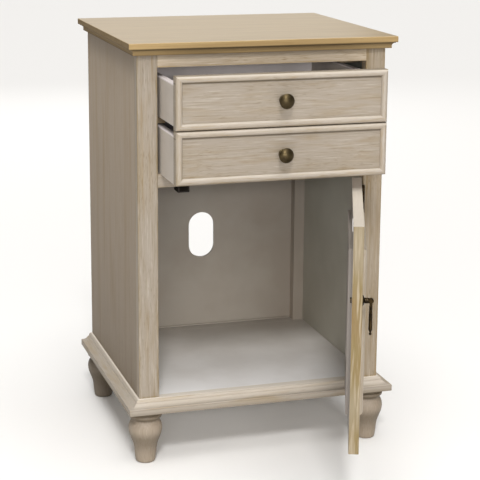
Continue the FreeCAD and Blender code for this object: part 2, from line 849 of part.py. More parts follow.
def strike_screws():
    middle = catch_x() + catch_width / 2
    reach = strike_width / 2 - screw_head_radius - strike_thickness
    z = door_top - strike_top_drop - strike_height / 2
    y = door_back_y + strike_thickness
    return [screw(screw_shank_radius, screw_head_radius, screw_length, Vector(middle + side * reach, y, z),
                  -along_y)
            for side in (-1, 1)]


def door_hardware_screws():
    return joined(hinge_screws(-1) + strike_screws())


def cabinet_hardware_screws():
    return joined(hinge_screws(1) + catch_screws())


def pull_screw():
    # A round-headed screw from inside the door into the post of the pull.
    head = rod(pull_screw_head_radius, Vector(pull_x, door_back_y, pull_z), along_y, pull_screw_head_height)
    shank = rod(pull_screw_radius, Vector(pull_x, door_back_y, pull_z), -along_y,
                door_thickness + pull_screw_depth)
    return shank.fuse(head).removeSplitter()


def pull_pivot():
    return Vector(pull_x, front_y - pull_reach, pull_z)


def pull_mount():
    # A domed rosette, a barrel on a narrower neck, and a flat eye at the barrel's end.
    rim = pull_rosette_height - pull_rosette_dome
    dome_mid = (pull_neck_radius + (pull_rosette_radius - pull_neck_radius) * far_quarter_share,
                rim + pull_rosette_dome * far_quarter_share)
    barrel_end = pull_reach - pull_fork_radius - pull_fork_gap
    barrel_side = barrel_end - pull_barrel_round
    end_radius = pull_barrel_radius - pull_barrel_round
    end_mid = pull_barrel_round * far_quarter_share
    swell = pull_barrel_radius - pull_neck_radius
    barrel_start = pull_rosette_height + swell
    body = turned((0, 0), [(pull_rosette_radius, 0)], [(pull_rosette_radius, rim)],
                  [dome_mid, (pull_neck_radius, pull_rosette_height)],
                  [(pull_neck_radius + swell * far_quarter_share,
                    pull_rosette_height + swell * near_quarter_share),
                   (pull_barrel_radius, barrel_start)],
                  [(pull_barrel_radius, barrel_side)],
                  [(end_radius + end_mid, barrel_side + end_mid), (end_radius, barrel_end)],
                  [(0, barrel_end)])
    body.rotate(Vector(0, 0, 0), along_x, 90)
    body = body.translated(Vector(pull_x, front_y, pull_z))
    half = pull_eye_thickness / 2
    eye = rod(pull_eye_radius, pull_pivot() - along_x * half, along_x, pull_eye_thickness)
    rise = pull_eye_radius * pull_web_share
    web = box(pull_x - half, pull_x + half, front_y - pull_reach, front_y - barrel_start, pull_z - rise,
              pull_z + rise)
    bore_radius = pull_pin_radius + pull_pin_clearance
    bore = rod(bore_radius, pull_pivot() - along_x * pull_eye_radius, along_x, 2 * pull_eye_radius)
    return body.fuse([eye, web]).removeSplitter().cut(bore).cut(pull_screw())


def pull_drop():
    # A turned drop that hangs by a fork and a cross pin in the eye of the post.
    pivot = pull_pivot()
    half = pull_eye_thickness / 2 + pull_fork_gap
    outer = half + pull_fork_thickness
    bridge_top = -pull_fork_drop + pull_fork_thickness
    pin = rod(pull_pin_radius, pivot - along_x * outer, along_x, 2 * outer)
    ears = []
    for side in (-1, 1):
        x0 = pivot.x + side * half
        x1 = pivot.x + side * outer
        disc = rod(pull_fork_radius, Vector(min(x0, x1), pivot.y, pivot.z), along_x, pull_fork_thickness)
        arm = box(min(x0, x1), max(x0, x1), pivot.y - pull_drop_neck_radius,
                  pivot.y + pull_drop_neck_radius,
                  pivot.z - pull_fork_drop, pivot.z)
        ears += [disc, arm]
    bridge = box(pivot.x - outer, pivot.x + outer, pivot.y - pull_drop_neck_radius,
                 pivot.y + pull_drop_neck_radius,
                 pivot.z - pull_fork_drop, pivot.z + bridge_top)
    tip = -pull_drop_length + pull_ball_radius
    run = -pull_fork_drop - tip
    side = [(pull_drop_belly_radius * width, tip + run * rise) for rise, width in pull_drop_shares]
    body = spline_turned(side).translated(pivot)
    ball = Part.makeSphere(pull_ball_radius, pivot + along_z * tip)
    return body.fuse([bridge, ball, pin] + ears).removeSplitter()


def opened(shape):
    # Turns a piece of the closed door about the hinge pins to its place at rest.
    turned_shape = shape.copy()
    turned_shape.rotate(hinge_axis, along_z, door_rest_angle)
    return turned_shape


def cabinet_pieces():
    front_base, left_base, right_base = base_mouldings()
    left_stile = left_front_stile()
    right_stile = mirrored(left_stile).cut(leaf_mortises(1)).cut(joined(hinge_screws(1)))
    post = left_rear_post()
    screws = back_panel_screws()
    pieces = {"top_board": top_board(), "crown_moulding": crown_moulding(), "floor_panel": floor_panel(),
              "left_side_panel": left_side_panel(), "right_side_panel": mirrored(left_side_panel()),
              "left_front_stile": left_stile, "right_front_stile": right_stile,
              "top_front_rail": top_front_rail(),
              "middle_front_rail": middle_front_rail().cut(joined(catch_screws())),
              "left_rear_post": post.cut(screws), "right_rear_post": mirrored(post).cut(screws),
              "rear_top_rail": rear_top_rail(), "back_panel": back_panel(), "back_panel_screws": screws,
              "base_front_moulding": front_base, "base_left_moulding": left_base,
              "base_right_moulding": right_base,
              "base_rear_rail": base_rear_rail(), "foot_bolts": foot_bolts(),
              "upper_runners": both_sides(left_runner(upper_side_bottom, upper_ledge_thickness,
                                                      frame_back_y + runner_front_clearance)),
              "lower_runners": both_sides(left_runner(middle_rail_top, lower_ledge_thickness,
                                                      middle_rail_back_y)),
              "drawer_kickers": both_sides(left_kicker()), "catch_body": catch_body(),
              "catch_magnet": catch_magnet(),
              "hinge_cabinet_leaves": hinge_cabinet_leaves(), "hinge_pins": hinge_pins(),
              "cabinet_hardware_screws": cabinet_hardware_screws()}
    for name, foot in feet().items():
        pieces[name + "_foot"] = foot
    return pieces


def door_pieces():
    closed = {"door_free_stile": door_free_stile(), "door_hinge_stile": door_hinge_stile(),
              "door_top_rail": door_top_rail(), "door_bottom_rail": door_bottom_rail(),
              "door_panel": door_panel(),
              "door_bead": door_bead(), "door_panel_stops": door_panel_stops(),
              "strike_plate": strike_plate(),
              "hinge_door_leaves": hinge_door_leaves(), "door_hardware_screws": door_hardware_screws(),
              "pull_mount": pull_mount(), "pull_screw": pull_screw(), "pull_drop": pull_drop()}
    return {name: opened(shape) for name, shape in closed.items()}


def all_drawers():
    pieces = {}
    drawers = {"upper": (upper_front_bottom, upper_side_bottom, upper_side_top),
               "lower": (lower_front_bottom, middle_rail_top, lower_side_top)}
    for name, heights in drawers.items():
        for piece, shape in drawer_pieces(*heights).items():
            pieces[name + "_" + piece] = shape.translated(along_y * -drawer_rest_out)
    return pieces


def main():
    os.makedirs("parts", exist_ok=True)
    pieces = cabinet_pieces()
    pieces.update(door_pieces())
    pieces.update(all_drawers())
    for name, shape in pieces.items():
        shape.exportStep(os.path.join("parts", name + ".step"))
    print(len(pieces), "pieces")


main()
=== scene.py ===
import json
import math

import bpy
from mathutils import Matrix, Vector


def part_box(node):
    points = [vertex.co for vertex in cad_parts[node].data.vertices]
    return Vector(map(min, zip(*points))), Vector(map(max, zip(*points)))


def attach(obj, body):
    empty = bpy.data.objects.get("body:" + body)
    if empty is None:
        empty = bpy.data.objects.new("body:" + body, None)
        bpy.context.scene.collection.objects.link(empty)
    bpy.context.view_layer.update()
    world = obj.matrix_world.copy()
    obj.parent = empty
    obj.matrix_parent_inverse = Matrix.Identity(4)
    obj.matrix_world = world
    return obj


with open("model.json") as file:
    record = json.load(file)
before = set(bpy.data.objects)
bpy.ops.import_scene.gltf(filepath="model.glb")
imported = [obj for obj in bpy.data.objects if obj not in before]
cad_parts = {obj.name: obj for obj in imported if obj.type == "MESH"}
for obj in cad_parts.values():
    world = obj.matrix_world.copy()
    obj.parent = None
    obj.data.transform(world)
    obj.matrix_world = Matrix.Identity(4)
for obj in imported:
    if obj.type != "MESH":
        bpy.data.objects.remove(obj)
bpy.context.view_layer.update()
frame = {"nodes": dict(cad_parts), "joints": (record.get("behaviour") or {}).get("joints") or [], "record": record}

nodes = frame["nodes"]
print("frame loaded,", len(nodes), "nodes")

mm = 0.001
white = (1.0, 1.0, 1.0)


def linearColor(code, tone=white):  # sRGB hex to the linear colour that a socket takes
    parts = [int(code[i:i + 2], 16) / 255 for i in (1, 3, 5)]
    parts = [p / 12.92 if p <= 0.04045 else ((p + 0.055) / 1.055) ** 2.4 for p in parts]
    return [p * t for p, t in zip(parts, tone)] + [1.0]


def addNode(tree, kind, settings=None, **inputs):  # inputs: socket name or i0, i1 ... to a value or socket
    node = tree.nodes.new(kind)
    for key, value in (settings or {}).items():
        setattr(node, key, value)
    for key, value in inputs.items():
        place = int(key[1:]) if key[0] == "i" and key[1:].isdigit() else key.replace("_", " ")
        if isinstance(value, bpy.types.NodeSocket):
            tree.links.new(value, node.inputs[place])
        else:
            node.inputs[place].default_value = value
    return node


def newMaterial(name, **constants):  # constants go on the shader's own sockets
    material = bpy.data.materials.new(name)
    material.use_nodes = True
    tree = material.node_tree
    shader = tree.nodes["Principled BSDF"]
    for key, value in constants.items():
        shader.inputs[key.replace("_", " ")].default_value = value
    return material, tree, shader


def setRamp(ramp, places, shades):  # shades: hex or linear colours
    band = ramp.color_ramp
    while len(band.elements) < len(places):
        band.elements.new(0.5)
    for element, place, shade in zip(band.elements, places, shades):
        element.position = place
        element.color = linearColor(shade) if isinstance(shade, str) else shade
    return ramp.outputs["Color"]


def joinShader(tree, shader, color, height=None, bump=None):  # bump: strength, depth in mm
    tree.links.new(color, shader.inputs["Base Color"])
    if bump:
        relief = addNode(tree, "ShaderNodeBump", Strength=bump[0], Distance=bump[1] * mm, Height=height)
        tree.links.new(relief.outputs["Normal"], shader.inputs["Normal"])


def between(first, second, share):  # a colour on the way from first to second
    return [a + (b - a) * share for a, b in zip(first, second)]


# the door stands open at rest, so its boards are read as they lie when it is shut
doorHinge = next(j for j in frame["joints"] if j["name"] == "door_hinge")
doorTurn = Matrix.Rotation(math.radians(doorHinge["range_deg"][0]), 4, "Z")
hingePlace = Vector(doorHinge["pos_m"])
doorNodes = set(frame["record"]["behaviour"]["bodies"]["door"])


def boardBox(name):
    spots = [v.co for v in nodes[name].data.vertices]
    if name in doorNodes:
        spots = [doorTurn @ (s - hingePlace) + hingePlace for s in spots]
    low = Vector([min(s[i] for s in spots) for i in range(3)])
    high = Vector([max(s[i] for s in spots) for i in range(3)])
    return low, high


def boardSpace(tree, name):
    spot = addNode(tree, "ShaderNodeTexCoord").outputs["Object"]
    if name not in doorNodes:
        return spot
    turned = addNode(tree, "ShaderNodeMapping", Vector=spot, Location=hingePlace - doorTurn @ hingePlace,
                     Rotation=doorTurn.to_euler())
    return turned.outputs["Vector"]


def boxDepth(tree, spot, name):  # how deep a point lies in the board's box along x, y and z
    low, high = boardBox(name)
    middle = addNode(tree, "ShaderNodeVectorMath", {"operation": "SUBTRACT"}, i0=spot, i1=(low + high) / 2)
    away = addNode(tree, "ShaderNodeVectorMath", {"operation": "ABSOLUTE"}, i0=middle.outputs[0])
    depth = addNode(tree, "ShaderNodeVectorMath", {"operation": "SUBTRACT"},
                    i0=(high - low) / 2, i1=away.outputs[0])
    return addNode(tree, "ShaderNodeSeparateXYZ", Vector=depth.outputs[0]).outputs


def uprightMask(tree, spot, name):  # 1 on the upright strips of a mitred frame, 0 on the level ones
    depthX, _, depthZ = boxDepth(tree, spot, name)
    return addNode(tree, "ShaderNodeMath", {"operation": "LESS_THAN"}, i0=depthX, i1=depthZ).outputs[0]


def returnMask(tree, spot, name):  # 1 on the side runs of a moulding that is mitred at the front corners
    low, high = boardBox(name)
    x, y, _ = addNode(tree, "ShaderNodeSeparateXYZ", Vector=spot).outputs
    outward = addNode(tree, "ShaderNodeMath", {"operation": "ABSOLUTE"}, i0=x)
    reach = addNode(tree, "ShaderNodeMath", {"operation": "ADD"}, i0=outward.outputs[0], i1=y)
    return addNode(tree, "ShaderNodeMath", {"operation": "GREATER_THAN"},
                   i0=reach.outputs[0], i1=high.x + low.y).outputs[0]


boardShift = (7.3, 3.1, 5.7)  # moves the noise from one board to the next, so that no two look alike


def grainSpace(tree, spot, name, grain, size):  # stretches noise along the grain, size: length, width in mm
    if len(grain) == 2:  # two directions: along the level or front strips, then along the others
        mask = uprightMask(tree, spot, name) if grain == "xz" else returnMask(tree, spot, name)
        runs = [grainSpace(tree, spot, name, run, size) for run in grain]
        return addNode(tree, "ShaderNodeMix", {"data_type": "VECTOR"},
                       i0=mask, i4=runs[0], i5=runs[1]).outputs[1]
    length, width = size
    scale = [1000 / width] * 3
    scale["xyz".index(grain)] = 1000 / length
    count = sorted(nodes).index(name)
    return addNode(tree, "ShaderNodeMapping", Vector=spot, Scale=scale,
                   Location=[step * count for step in boardShift]).outputs["Vector"]


def grainNoise(tree, spot, name, grain, size, **settings):
    along = grainSpace(tree, spot, name, grain, size)
    return addNode(tree, "ShaderNodeTexNoise", Scale=1.0, Vector=along, **settings).outputs["Fac"]


def edgeNearness(tree, spot, name, reach):  # 1 on the board's box edges, 0 at reach (mm) from them
    x, y, z = boxDepth(tree, spot, name)
    least = addNode(tree, "ShaderNodeMath", {"operation": "MINIMUM"}, i0=x, i1=y)
    most = addNode(tree, "ShaderNodeMath", {"operation": "MAXIMUM"}, i0=x, i1=y)
    rest = addNode(tree, "ShaderNodeMath", {"operation": "MINIMUM"}, i0=most.outputs[0], i1=z)
    second = addNode(tree, "ShaderNodeMath", {"operation": "MAXIMUM"},
                     i0=least.outputs[0], i1=rest.outputs[0])
    return addNode(tree, "ShaderNodeMapRange", {"interpolation_type": "SMOOTHSTEP"},
                   Value=second.outputs[0], From_Min=0.0, From_Max=reach * mm,
                   To_Min=1.0, To_Max=0.0).outputs["Result"]


def bandShare(tree, spot, name, bands):  # bands: (from top or bottom, start, end in mm, share at start)
    low, high = boardBox(name)
    z = addNode(tree, "ShaderNodeSeparateXYZ", Vector=spot).outputs["Z"]
    total = None
    for side, start, end, share in bands:
        places = [high.z - d * mm if side == "top" else low.z + d * mm for d in (start, end)]
        fall = addNode(tree, "ShaderNodeMapRange", {"interpolation_type": "SMOOTHSTEP"}, Value=z,
                       From_Min=places[0], From_Max=places[1], To_Min=share, To_Max=0.0).outputs["Result"]
        inside = addNode(tree, "ShaderNodeMath", {"operation": "COMPARE"}, i0=z, i1=sum(places) / 2,
                         i2=abs(places[0] - places[1]) / 2).outputs[0]
        band = addNode(tree, "ShaderNodeMath", {"operation": "MULTIPLY"}, i0=fall, i1=inside).outputs[0]
        if total is not None:
            band = addNode(tree, "ShaderNodeMath", {"operation": "MAXIMUM"}, i0=total, i1=band).outputs[0]
        total = band
    return total


def coverFace(tree, spot, color, axis, side, limit, cover, share=1.0):  # another finish beyond a limit
    place = addNode(tree, "ShaderNodeSeparateXYZ", Vector=spot).outputs[axis]
    beyond = addNode(tree, "ShaderNodeMath", {"operation": side}, i0=place, i1=limit).outputs[0]
    if share < 1.0:
        beyond = addNode(tree, "ShaderNodeMath", {"operation": "MULTIPLY"}, i0=beyond, i1=share).outputs[0]
    return addNode(tree, "ShaderNodeMix", {"data_type": "RGBA"},
                   Factor=beyond, i6=color, i7=cover).outputs[2]


# how far in from a board's box a face still counts, with its easing, in mm
faceSkin = {"flat": 0.4, "eased": 0.8, "rubbed": 1.2, "sanded": 2.2}
cupboardFoot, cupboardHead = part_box("floor_panel")[1][2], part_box("middle_front_rail")[0][2]
floorFront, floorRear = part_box("floor_panel")[0][1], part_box("floor_panel")[1][1]

# satin paint, rolled on: an even film with faint stipple and clouds of handling grime, sizes in mm
paintBody = {"ior": 1.5, "grimeStops": (0.35, 0.6), "bump": (0.12, 0.2)}
# the cupboard's floor is grey-white, with painted shade making it duller towards the back
floorPaint = {"paint": "#e9e7e5", "grime": "#e0ddda", "cloud": 90, "stipple": 1.6, "roughness": 0.48,
              "reach": ((0.97, 0.965, 0.96), (0.75, 0.71, 0.655))}
# the back panel's primer: thinner and warmer, the board's brown shows through; painted shade makes it darker
# higher up
backPrimer = {"paint": "#9b9388", "grime": "#92887c", "cloud": 120, "stipple": 2.0, "roughness": 0.6,
              "rise": (1.62, 0.6)}
# the side walls in the cupboard: the same thin coat over whiter boards, with the same painted shade higher up
wallPrimer = {"paint": "#a5a297", "grime": "#9a968a", "cloud": 140, "stipple": 2.0, "roughness": 0.6,
              "rise": (1.4, 0.8)}
# drawer sides: their outer paint is darker, painted shade; inside the drawers the paint is cleaner and paler
shadedDrawerPaint = {"paint": "#b9b0a6", "grime": "#aea59b", "cloud": 70, "stipple": 1.6, "roughness": 0.5}
drawerInside = {"paint": "#d8d0ce", "grime": "#ccc4c1", "cloud": 70, "stipple": 1.6, "roughness": 0.5}
# the door's inner side: one thin coat, so it is greyer
doorInside = {"paint": "#968e87", "grime": "#8a827a", "cloud": 90, "stipple": 1.6, "roughness": 0.5}


def paintFilm(tree, spot, look):
    cloud = addNode(tree, "ShaderNodeTexNoise", Scale=1000 / look["cloud"], Detail=4.0, Vector=spot)
    film = setRamp(addNode(tree, "ShaderNodeValToRGB", Fac=cloud.outputs["Fac"]),
                   paintBody["grimeStops"], (look["grime"], look["paint"]))
    # painted shade: darker higher up in the cupboard
    if "rise" in look:
        z = addNode(tree, "ShaderNodeSeparateXYZ", Vector=spot).outputs["Z"]
        coat = addNode(tree, "ShaderNodeMapRange", Value=z, From_Min=cupboardFoot, From_Max=cupboardHead,
                       To_Min=look["rise"][0], To_Max=look["rise"][1])
        film = addNode(tree, "ShaderNodeVectorMath", {"operation": "SCALE"}, i0=film,
                       Scale=coat.outputs["Result"]).outputs[0]
    # painted shade: darker towards the back of the cupboard's floor
    if "reach" in look:
        y = addNode(tree, "ShaderNodeSeparateXYZ", Vector=spot).outputs["Y"]
        depth = addNode(tree, "ShaderNodeMapRange", Value=y, From_Min=floorFront, From_Max=floorRear)
        coat = setRamp(addNode(tree, "ShaderNodeValToRGB", Fac=depth.outputs["Result"]),
                       (0.0, 1.0), [list(share) + [1.0] for share in look["reach"]])
        film = addNode(tree, "ShaderNodeMix", {"data_type": "RGBA", "blend_type": "MULTIPLY"},
                       i0=1.0, i6=film, i7=coat).outputs[2]
    return film


def paintMaterial(name, look, highlightTop=None, plainRear=None):
    material, tree, shader = newMaterial(name, Roughness=look["roughness"], IOR=paintBody["ior"])
    spot = addNode(tree, "ShaderNodeTexCoord").outputs["Object"]
    stipple = addNode(tree, "ShaderNodeTexNoise", Scale=1000 / look["stipple"], Detail=1.0, Vector=spot)
    color = paintFilm(tree, spot, look)
    if highlightTop:  # painted highlight: the upper edge of a drawer side gets the paler paint of the inside
        edge = boardBox(highlightTop)[1].z - faceSkin["sanded"] * mm
        color = coverFace(tree, spot, color, "Z", "GREATER_THAN", edge, paintFilm(tree, spot, drawerInside))
    if plainRear:  # the face towards the room's wall was primed evenly, without the painted shade
        rear = boardBox(plainRear)[1].y - faceSkin["eased"] * mm
        even = {key: value for key, value in look.items() if key != "rise"}
        color = coverFace(tree, spot, color, "Y", "GREATER_THAN", rear, paintFilm(tree, spot, even))
    joinShader(tree, shader, color, stipple.outputs["Fac"], paintBody["bump"])
    return material


# whitewashed pine: thin cream paint brushed on along the grain and wiped, so tan dashes of grain read
# through it, with bare yellow wood where edges were rubbed; dashes are drawn coarser than real pores, to show
# sizes are length and width in mm, shares are of full cover, stops and spans are noise values
whitewashedPine = {
    "wash": "#93887a", "thin": "#82745e", "brush": "#a59c8f", "pore": "#69583b", "bare": "#7a6740",
    # the brown of painted shade in corners and under overhangs, the pale of painted highlights and of chalky paint
    "glaze": "#43361f", "chalkAndHighlight": "#d9d0c3", "ochre": "#7d6535",
    "dashSize": (48, 1.9), "poreSize": (15, 1.3), "patchSize": (154, 70), "rubReach": 4.5,
    "washStops": (0.28, 0.46, 0.56, 0.72), "wornSpan": (0.42, 0.66), "leastWorn": 0.12,
    "poreSpan": (0.43, 0.29), "poreShare": 0.9, "warmSpan": (0.5, 0.78), "warmShare": 0.4, "warmBare": 0.35,
    "rubSpan": (0.66, 0.36), "streakSpan": (0.5, 0.7), "fadeEnd": 0.85,
    "roughness": 0.6, "ior": 1.5, "bump": (0.3, 0.4),
}
# the door's opening edge, rubbed down to the wood: tan grain, browner and paler patches, pale streaks
rubbedEdge = {
    "grain": ("#6c5a2f", "#827354"), "grainStops": (0.34, 0.6), "patchShare": 0.6,
    "patch": ("#785a2b", "#7d6a40", "#8d8069"), "patchStops": (0.38, 0.5, 0.62),
    "pale": "#a0927c", "paleShare": 0.8, "paleSize": (55, 3.2), "paleSpan": (0.5, 0.64),
}
# share and size of the streaks where the wood's own ochre comes through
stileStreak, sideStreak, drawerStreak = (0.5, (190, 6.0)), (0.45, (420, 24.0)), (0.32, (80, 11.0))
beadStreak, baseStreak = (0.4, (40, 3.5)), (0.36, (110, 13.0))


def washFilm(tree, look, tone, contrast, dashes, pores, patches):  # the wiped paint and the grain in it
    wash, thin, brush, pore, bare = (linearColor(look[k], tone)
                                     for k in ("wash", "thin", "brush", "pore", "bare"))
    shades = (between(wash, thin, contrast), wash, wash, between(wash, brush, contrast))
    film = setRamp(addNode(tree, "ShaderNodeValToRGB", Fac=dashes), look["washStops"], shades)
    worn = addNode(tree, "ShaderNodeMapRange", Value=patches, From_Min=look["wornSpan"][0],
                   From_Max=look["wornSpan"][1], To_Min=look["leastWorn"], To_Max=1.0)
    poreMask = addNode(tree, "ShaderNodeMapRange", Value=pores, From_Min=look["poreSpan"][0],
                       From_Max=look["poreSpan"][1], To_Min=0.0, To_Max=look["poreShare"] * contrast)
    poreShare = addNode(tree, "ShaderNodeMath", {"operation": "MULTIPLY"},
                        i0=poreMask.outputs["Result"], i1=worn.outputs["Result"])
    pored = addNode(tree, "ShaderNodeMix", {"data_type": "RGBA"}, Factor=poreShare.outputs[0],
                    i6=film, i7=pore)
    warmShare = addNode(tree, "ShaderNodeMapRange", Value=patches, From_Min=look["warmSpan"][0],
                        From_Max=look["warmSpan"][1], To_Min=0.0, To_Max=look["warmShare"] * contrast)
    warm = addNode(tree, "ShaderNodeMix", {"data_type": "RGBA"}, Factor=warmShare.outputs["Result"],
                   i6=pored.outputs[2], i7=between(thin, bare, look["warmBare"]))
    return warm.outputs[2]


def bareWood(tree, look, spot, name, grain, dashes, patches):
    grainTan = setRamp(addNode(tree, "ShaderNodeValToRGB", Fac=dashes), look["grainStops"], look["grain"])
    patchTan = setRamp(addNode(tree, "ShaderNodeValToRGB", Fac=patches), look["patchStops"], look["patch"])
    wood = addNode(tree, "ShaderNodeMix", {"data_type": "RGBA"}, Factor=look["patchShare"],
                   i6=grainTan, i7=patchTan)
    streaks = grainNoise(tree, spot, name, grain, look["paleSize"], Detail=2.0, Distortion=0.3)
    share = addNode(tree, "ShaderNodeMapRange", Value=streaks, From_Min=look["paleSpan"][0],
                    From_Max=look["paleSpan"][1], To_Min=0.0, To_Max=look["paleShare"])
    return addNode(tree, "ShaderNodeMix", {"data_type": "RGBA"}, Factor=share.outputs["Result"],
                   i6=wood.outputs[2], i7=linearColor(look["pale"])).outputs[2]


def whitewashMaterial(name, grain, tone=white, contrast=1.0, rub=0.7, streak=None, paintedShadeFade=None, glaze=None,
                      chalkAndHighlight=None, innerFace=None, chalkAndHighlightTop=0.0, paintedTop=False, paintedBack=False,
                      bareFace=False):
    look = whitewashedPine
    low, high = boardBox(name)
    material, tree, shader = newMaterial("whitewashed_pine_" + name, Roughness=look["roughness"],
                                         IOR=look["ior"])
    spot = boardSpace(tree, name)
    dashes = grainNoise(tree, spot, name, grain, look["dashSize"], Detail=3.0, Roughness=0.6, Distortion=0.15)
    pores = grainNoise(tree, spot, name, grain, look["poreSize"], Detail=1.5, Roughness=0.5)
    patches = grainNoise(tree, spot, name, grain, look["patchSize"], Detail=2.0)
    color = washFilm(tree, look, tone, contrast, dashes, pores, patches)
    # edges are rubbed, most where the paint lies thin
    near = edgeNearness(tree, spot, name, look["rubReach"])
    thinned = addNode(tree, "ShaderNodeMapRange", Value=dashes, From_Min=look["rubSpan"][0],
                      From_Max=look["rubSpan"][1], To_Min=0.0, To_Max=rub)
    rubShare = addNode(tree, "ShaderNodeMath", {"operation": "MULTIPLY"},
                       i0=near, i1=thinned.outputs["Result"])
    color = addNode(tree, "ShaderNodeMix", {"data_type": "RGBA"}, Factor=rubShare.outputs[0],
                    i6=color, i7=linearColor(look["bare"], tone)).outputs[2]
    if streak:
        streaks = grainNoise(tree, spot, name, grain, streak[1], Detail=2.5, Roughness=0.6, Distortion=0.3)
        share = addNode(tree, "ShaderNodeMapRange", Value=streaks, From_Min=look["streakSpan"][0],
                        From_Max=look["streakSpan"][1], To_Min=0.0, To_Max=streak[0])
        color = addNode(tree, "ShaderNodeMix", {"data_type": "RGBA"}, Factor=share.outputs["Result"],
                        i6=color, i7=linearColor(look["ochre"], tone)).outputs[2]
    if paintedShadeFade:  # painted shade: darker and greyer towards the floor
        z = addNode(tree, "ShaderNodeSeparateXYZ", Vector=spot).outputs["Z"]
        rise = addNode(tree, "ShaderNodeMapRange", Value=z, From_Min=low.z, From_Max=high.z)
        shade = setRamp(addNode(tree, "ShaderNodeValToRGB", Fac=rise.outputs["Result"]),
                        (0.0, look["fadeEnd"]), [list(share) + [1.0] for share in (paintedShadeFade, white)])
        color = addNode(tree, "ShaderNodeMix", {"data_type": "RGBA", "blend_type": "MULTIPLY"},
                        i0=1.0, i6=color, i7=shade).outputs[2]
    # painted shade: brown darkening in corners and under overhangs, where shade falls; painted highlight: pale on
    # the crests
    for kind, bands in (("glaze", glaze), ("chalkAndHighlight", chalkAndHighlight)):
        if not bands:
            continue
        share = bandShare(tree, spot, name, bands)
        if grain == "xz":  # on a mitred frame only the level strips get it
            level = addNode(tree, "ShaderNodeMath", {"operation": "SUBTRACT"},
                            i0=1.0, i1=uprightMask(tree, spot, name))
            share = addNode(tree, "ShaderNodeMath", {"operation": "MULTIPLY"},
                            i0=share, i1=level.outputs[0]).outputs[0]
        color = addNode(tree, "ShaderNodeMix", {"data_type": "RGBA"}, Factor=share,
                        i6=color, i7=linearColor(look[kind])).outputs[2]
    flat = faceSkin["flat"] * mm
    if bareFace:  # the edge where a hand opens the door is rubbed down to the wood
        wood = bareWood(tree, rubbedEdge, spot, name, grain, dashes, patches)
        color = coverFace(tree, spot, color, "X", "LESS_THAN", low.x + faceSkin["rubbed"] * mm, wood)
    if innerFace:  # the face inside the cupboard has the thin primer
        away = addNode(tree, "ShaderNodeVectorMath", {"operation": "ABSOLUTE"}, i0=spot).outputs[0]
        primer = paintFilm(tree, spot, wallPrimer)
        color = coverFace(tree, away, color, "X", "LESS_THAN", innerFace * mm, primer)
    if paintedBack:  # the door's inner side
        thinCoat = paintFilm(tree, spot, doorInside)
        color = coverFace(tree, spot, color, "Y", "GREATER_THAN", high.y - flat, thinCoat)
    if chalkAndHighlightTop:  # pale on the upper face: painted highlight on the door's top, chalky paint on the base's top
        chalky = linearColor(look["chalkAndHighlight"])
        color = coverFace(tree, spot, color, "Z", "GREATER_THAN", high.z - flat, chalky, chalkAndHighlightTop)
    if paintedTop:  # the upper face is a part of the cupboard's floor
        floorCoat = paintFilm(tree, spot, floorPaint)
        color = coverFace(tree, spot, color, "Z", "GREATER_THAN", high.z - flat, floorCoat)
    height = addNode(tree, "ShaderNodeMath", {"operation": "ADD"}, i0=dashes, i1=pores)
    strength, depth = look["bump"]
    joinShader(tree, shader, color, height.outputs[0], (strength * contrast, depth))
    return material


# oak: warm tan with fine darker grain; the top face is painted paler than the edges, as painted light from above,
# its satin lacquer catches the room's light, the edges are stained and matt
lacqueredOak = {
    "shades": ("#7c653f", "#87704a", "#8e7851"), "shadeStops": (0.30, 0.48, 0.66),
    # the top face's tone paints light from above; the stain also paints shade in hollows and on side runs
    "paintedLightFaceTone": (1.79, 1.9, 2.16), "stainAndShade": "#36280f",
    "pore": "#6f5632", "poreSpan": (0.36, 0.26), "poreShare": 0.4,
    "streakSize": (240, 6.0), "poreSize": (50, 1.6), "roughness": 0.4, "edgeRoughness": 0.85,
    "coat": 0.5, "coatRoughness": 0.3, "ior": 1.5, "bump": (0.15, 0.3),
}


